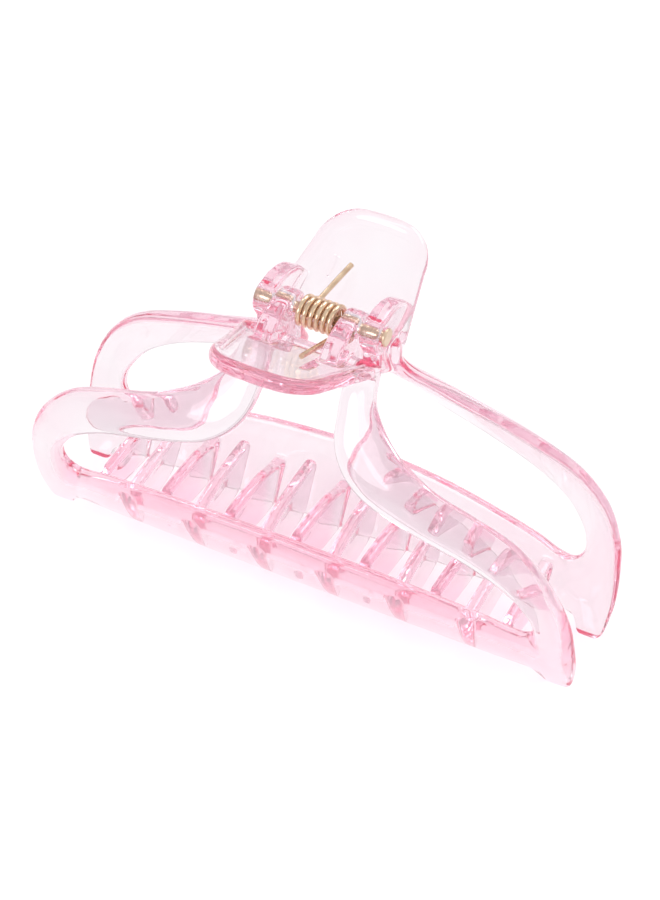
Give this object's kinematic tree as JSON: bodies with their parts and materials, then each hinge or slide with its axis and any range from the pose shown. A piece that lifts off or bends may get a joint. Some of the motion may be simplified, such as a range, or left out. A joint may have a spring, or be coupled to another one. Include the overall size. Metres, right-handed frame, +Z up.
{
  "type": "hair claw clip",
  "caption": "Large clear plastic claw clip that grips gathered hair between two sprung, toothed jaws.",
  "frame": {"origin": "on the ground the end lobes stand on, midway between the jaws and under the middle of the hinge pin", "axes": "+X along the hinge pin and the clip's length, +Y towards the rear jaw, +Z up from the comb bars to the thumb tabs"},
  "size_m": [0.104, 0.0492, 0.0638],
  "materials": {
    "pink_plastic": "clear, gloss",
    "gold_metal": "bright"
  },
  "bodies": {
    "rear": {"rear_jaw": "pink_plastic", "hinge_pin": "gold_metal", "torsion_spring": "gold_metal"},
    "front": {"front_jaw": "pink_plastic"}
  },
  "joints": [
    {"name": "jaw_hinge", "type": "hinge", "parent": "rear", "child": "front", "pos_m": [0, 0, 0.057], "axis": [-1, 0, 0], "range_deg": [0, 90], "stiffness_Nm_per_rad": 0.075, "springref_deg": -89.95, "deforming": ["torsion_spring"]}
  ]
}
